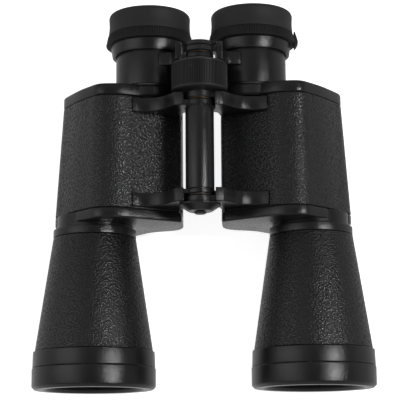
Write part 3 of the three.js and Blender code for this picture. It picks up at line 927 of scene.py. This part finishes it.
def bridge_arm(side):
    """A ring round the spindle, an ear beside the hub and a bar that reaches the eyepiece tube."""
    ear_height = EAR["half_height"]
    if side == "left":
        ring_radius = HUB_WASHER.radius
        ring_rows = (HUB_LOW, HUB_WASHER.low - GAP)
    else:
        ring_radius = HUB_CAP.radius
        ring_rows = (HUB_WASHER.high + GAP, HUB_CAP.low - GAP)
    arm = joined(
        extrude(ARM_CORNERS, *ARM_ROWS, 0.6),
        block(EAR["x"], EAR["y"], (-ear_height, ear_height), 0.7),
        block((4, EAR["x"][0] + 1), ring_rows, (-HUB_LINK_HALF_HEIGHT, HUB_LINK_HALF_HEIGHT), 0.3),
        rod(ring_radius, *ring_rows),
    )
    rows = (ARM_ROWS[0] - DRILL_PAST, HUB_CAP.high + DRILL_PAST)
    return cut(
        arm,
        rod(SPINDLE_HOLE, *rows),
        rod(TUBE.radius + GAP, *rows, EYEPIECE_AXIS, FINE),
    )


def focus_wheel():
    """The ribbed wheel, hollow over the hinge axle up to the nut's wall."""
    chamfer = 0.6
    rim = WHEEL.radius
    low = WHEEL.low + 2 * chamfer
    high = WHEEL.high - 2 * chamfer
    points = [
        (AXLE_HOLE, WHEEL.low),
        (rim - chamfer - 2, WHEEL.low),
        (rim - chamfer, WHEEL.low),
        (rim, WHEEL.low + chamfer),
        (rim, low),
        (rim, low + RIB_END),
        (rim, high - RIB_END),
        (rim, high),
        (rim, WHEEL.high - chamfer),
        (rim - chamfer, WHEEL.high),
        (rim - chamfer - 2, WHEEL.high),
        (SPINDLE_HOLE, WHEEL.high),
        (SPINDLE_HOLE, NUT_LOW),
        (AXLE_HOLE, NUT_LOW),
    ]
    shape = grooved(low + RIB_END / 2, high - RIB_END / 2, rim - 1)
    return turn(points, segments=WHEEL_RIBS * RIB_STEPS, shape=shape)


def wheel_mark():
    """A short index dash that stands just proud of the ribs."""
    half_width = 1
    turned_by = math.radians(-15)
    rows = (WHEEL.high - 4.9, WHEEL.high - 4.2)
    heights = (WHEEL.radius - 0.6, WHEEL.radius + 0.05)
    bar = block((-half_width, half_width), rows, heights, 0.12)
    bmesh.ops.rotate(bar, verts=bar.verts, matrix=Matrix.Rotation(turned_by, 3, "Y"))
    return bar


def hinge_axle():
    """The axle through the knuckles. Its upper part is hollow for the focus spindle."""
    bore_low = 20
    chamfer = 0.3
    points = [
        (0, AXLE.low),
        (AXLE.radius - chamfer, AXLE.low),
        (AXLE.radius, AXLE.low + chamfer),
        (AXLE.radius, NUT_LOW - GAP),
        (SPINDLE_HOLE, NUT_LOW - GAP),
        (SPINDLE_HOLE, bore_low),
        (0, bore_low),
    ]
    return turn(points, segments=SMALL)


def hinge_cap():
    """The cap on the hinge's objective end, bored for its screw."""
    bore = 2.2
    end_radius = 6.2
    points = [
        (bore, CAP.high, 0.1),
        (CAP.radius, CAP.high, 0.3),
        (CAP.radius, CAP.high - 0.8, 0.4),
        (end_radius, CAP.low, 0.5),
        (bore, CAP.low, 0.1),
    ]
    return turn(rounded(points, 5), segments=FINE)


def hinge_cap_screw():
    """A domed screw with a driver slot."""
    head = CAP_SCREW.radius
    shaft = 1.9
    slot_depth = 0.8
    points = [
        (0, CAP.high - 0.1),
        (shaft, CAP.high - 0.1),
        (shaft, CAP.low - GAP),
        (head - 0.1, CAP.low - GAP),
        (head, CAP.low - GAP - 0.2),
        (head - 0.25, CAP.low - 0.95),
        (head - 0.8, CAP.low - 1.3),
        (head / 2, CAP.low - 1.45),
        (0, CAP_SCREW.low),
    ]
    slot_rows = (CAP_SCREW.low - 1, CAP_SCREW.low + slot_depth)
    slot = block((-head - 1, head + 1), slot_rows, (-0.4, 0.4), 0.05)
    return cut(turn(points, segments=SMALL), slot)


# ---------------------------------------------------------------- assembly
# Each lens: its radius, the Y of its faces' edges, how far their middles stand off, and its axis.
LENSES = {
    "crown_lens": (CROWN.radius, (-84.4, -81.4), (-2.6, 2.4), OBJECTIVE_AXIS),
    "flint_lens": (FLINT.radius, (-81.1, -76.6), (2.4, 0), OBJECTIVE_AXIS),
    "eye_lens": (EYE_LENS.radius, (83, 85.5), (-1.5, 2.4), EYEPIECE_AXIS),
    "field_lens": (FIELD_LENS.radius, (64, 66.5), (-2.2, 1.5), EYEPIECE_AXIS),
}
EYEPIECE_BODIES = {
    "left": {"carriage": "focus_bridge", "ring": "focus_bridge", "ocular": "focus_bridge"},
    "right": {"carriage": "right_carriage", "ring": "diopter", "ocular": "right_ocular"},
}


def add_half(side):
    """The pieces that don't move against their half's housing."""
    shapes = [
        ("housing", casting(side), "black_paint"),
        ("housing_leatherette", housing_skin(), "leatherette"),
        ("rear_cover", rear_cover(), "black_paint"),
        ("front_cover", front_cover(), "black_paint"),
        ("barrel", barrel(), "black_paint"),
        ("barrel_leatherette", barrel_skin(), "leatherette"),
        ("objective_ring", objective_ring(), "black_paint"),
        ("objective_hood", objective_hood(), "black_paint"),
        ("objective_cell", objective_cell(), "dark_metal"),
        ("crown_lens", lens(*LENSES["crown_lens"]), "lens_glass"),
        ("flint_lens", lens(*LENSES["flint_lens"]), "lens_glass"),
        ("guide_sleeve", guide_sleeve(), "steel"),
    ]
    for name, shape, finish in shapes:
        add_piece(f"{name}_{side}", shape, side, finish, f"{side}_half", f"{side}_{name}")


def add_eyepiece(side):
    """The pieces that slide or turn with one eyepiece."""
    bodies = EYEPIECE_BODIES[side]
    shapes = [
        ("bridge_arm", bridge_arm(side), "black_paint", "carriage"),
        ("eyepiece_tube", eyepiece_tube(), "black_paint", "carriage"),
        ("eyepiece_collar", eyepiece_collar(), "black_paint", "carriage"),
        ("eyecup", eyecup(), "eyecup_rubber", "ring"),
        ("ocular_cell", ocular_cell(), "dark_metal", "ocular"),
        ("eye_lens", lens(*LENSES["eye_lens"]), "lens_glass", "ocular"),
        ("field_lens", lens(*LENSES["field_lens"]), "lens_glass", "ocular"),
    ]
    for name, shape, finish, body in shapes:
        add_piece(f"{name}_{side}", shape, side, finish, bodies[body], f"{side}_{name}")


def washer_ring(washer, bore, segments):
    return ring_band(bore, washer.radius - GAP, washer.low, washer.high, segments=segments, reach=0.12)


def add_centre():
    """The hinge, the focus wheel with its spindle, and the two ribbed bands."""
    hinge_tube = ring_band(AXLE_HOLE, HINGE.radius, HINGE.low, HINGE.high, segments=SMALL)
    lower, upper = (washer_ring(washer, AXLE_HOLE, SMALL) for washer in WASHERS)
    hub_washer = washer_ring(HUB_WASHER, SPINDLE_HOLE, FINE)
    spindle = rod(SPINDLE.radius, SPINDLE.low, SPINDLE.high)
    hub_cap = rod(HUB_CAP.radius, HUB_CAP.low, HUB_CAP.high, edge=0.4)
    fixed = "left_half"
    bridge = "focus_bridge"
    ribbed = "eyecup_rubber"
    add_piece("hinge_tube_sleeve", hinge_tube, None, "black_paint", fixed, "hinge_tube")
    add_piece("hinge_axle_rod", hinge_axle(), None, "steel", fixed, "hinge_axle")
    add_piece("lower_washer_ring", lower, None, "bronze", fixed, "lower_hinge_washer")
    add_piece("upper_washer_ring", upper, None, "bronze", fixed, "upper_hinge_washer")
    add_piece("end_cap", hinge_cap(), None, "black_paint", fixed, "hinge_cap")
    add_piece("end_cap_screw", hinge_cap_screw(), None, "black_paint", fixed, "hinge_cap_screw")
    add_piece("ribbed_focus_wheel", focus_wheel(), None, "focus_rubber", "focus_wheel", "focus_wheel")
    add_piece("focus_wheel_mark", wheel_mark(), None, "focus_rubber", "focus_wheel")
    add_piece("hub_washer_ring", hub_washer, None, "bronze", bridge, "bridge_hub_washer")
    add_piece("focus_screw", spindle, None, "steel", bridge, "focus_spindle")
    add_piece("hub_cap", hub_cap, None, "black_paint", bridge, "bridge_hub_cap")
    add_piece("left_ribs", rib_band(), "left", ribbed, bridge, "left_rib_band")
    add_piece("diopter_ribs", diopter_ring(), "right", ribbed, "diopter", "diopter_ring")


def finish_inner_nodes():
    """The prisms, their shelf and clips keep their CAD shape and get a finish."""
    finishes = {"prism": "prism_glass", "clip": "steel", "shelf": "dark_metal"}
    for name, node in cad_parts.items():
        if "prism" in name:
            kind = name.split("_")[-1]
            node.data.materials.clear()
            node.data.materials.append(FINISHES[finishes[kind]])


for half_side in SIDES:
    add_half(half_side)
    add_eyepiece(half_side)
add_centre()
finish_inner_nodes()


# ---------------------------------------------------------------- stage, light and camera
def add_floor():
    """Pale paper that glows a little, as on a light table."""
    half_width = 3  # metres
    just_under = -0.2 * MM
    n = Nodes("floor_paper")
    mottle = n.noise(40, 2)
    n.set(
        Base_Color=n.colours(mottle, (0.88, 0.88, 0.88), (0.92, 0.92, 0.92)),
        Roughness=0.9,
        Specular_IOR_Level=0.1,
        Emission_Color=(1, 1, 1, 1),
        Emission_Strength=0.85,
    )
    bm = bmesh.new()
    bmesh.ops.create_grid(bm, x_segments=1, y_segments=1, size=half_width)
    bmesh.ops.translate(bm, verts=bm.verts, vec=(0, 0, just_under))
    mesh = mesh_of(bm, "floor")
    mesh.materials.append(n.material)
    floor = in_scene("floor", mesh)
    floor.visible_glossy = False  # keeps the paper out of the black parts' reflections


def add_light(name, place, size, power):
    """An area light aimed at the middle of the binoculars. Place and size are in metres."""
    middle = Vector((0, 0, 0.04))
    data = bpy.data.lights.new(name, "AREA")
    data.shape = "RECTANGLE"
    data.size, data.size_y = size
    data.energy = power
    light = in_scene(name, data)
    light.location = place
    aim = middle - light.location
    light.rotation_euler = aim.to_track_quat("-Z", "Y").to_euler()


# How bright the surroundings are at each height: 0 is the horizon and below, 1 is overhead.
SKY_LEVELS = {0: 0.58, 0.25: 0.42, 0.5: 0.2, 0.78: 0.42, 0.95: 0.4, 0.99: 0.08}


def sky_ramp(tree, height):
    """The brightness at a height."""
    ramp = tree.nodes.new("ShaderNodeValToRGB")
    stops = ramp.color_ramp.elements
    lowest, *between, highest = sorted(SKY_LEVELS)
    stops[0].position = lowest
    stops[1].position = highest
    for position in between:
        stops.new(position)
    for stop, position in zip(stops, sorted(SKY_LEVELS)):
        level = SKY_LEVELS[position]
        stop.color = (level, level, level, 1)
    tree.links.new(height, ramp.inputs["Fac"])
    return ramp.outputs["Color"]


def add_world():
    """Soft white surroundings, dimmer halfway up, on the key light's side and round the camera."""
    world = bpy.data.worlds.new("studio")
    world.use_nodes = True
    tree = world.node_tree
    place = tree.nodes.new("ShaderNodeTexCoord")
    axes = tree.nodes.new("ShaderNodeSeparateXYZ")
    tree.links.new(place.outputs["Generated"], axes.inputs["Vector"])
    brightness = sky_ramp(tree, axes.outputs["Z"])
    strength = map_range(tree, axes.outputs["X"], (-0.25, 0.35), (1.05, 0.85))
    background = tree.nodes["Background"]
    tree.links.new(brightness, background.inputs["Color"])
    tree.links.new(strength, background.inputs["Strength"])
    bpy.context.scene.world = world


def add_camera():
    """Looks down at the photo's angle, almost from overhead."""
    tilt = math.radians(11)
    yaw = math.radians(2)
    roll = math.radians(0.4)
    view_angle = math.radians(15.44)
    distance = 0.783
    target = Vector((-1.1 * MM, -0.45 * MM, 37.5 * MM))
    back = Vector((math.sin(yaw), -math.sin(tilt) * math.cos(yaw), math.cos(tilt) * math.cos(yaw)))
    level_right = Vector((0, 1, 0)).cross(back).normalized()
    level_up = back.cross(level_right)
    right = level_right * math.cos(roll) - level_up * math.sin(roll)
    up = level_right * math.sin(roll) + level_up * math.cos(roll)
    data = bpy.data.cameras.new("camera")
    data.angle = view_angle
    data.clip_start = 0.01
    camera = in_scene("camera", data)
    facing = Matrix((right, up, back)).transposed().to_4x4()
    camera.matrix_world = Matrix.Translation(target + back * distance) @ facing
    bpy.context.scene.camera = camera


add_floor()
add_world()
add_light("key", (0.74, 0.0, 0.98), (0.045, 0.3), 6.5)
add_light("fill", (-0.85, 0.1, 0.8), (0.4, 0.9), 1.6)
add_camera()
bpy.context.scene.view_settings.view_transform = "Standard"
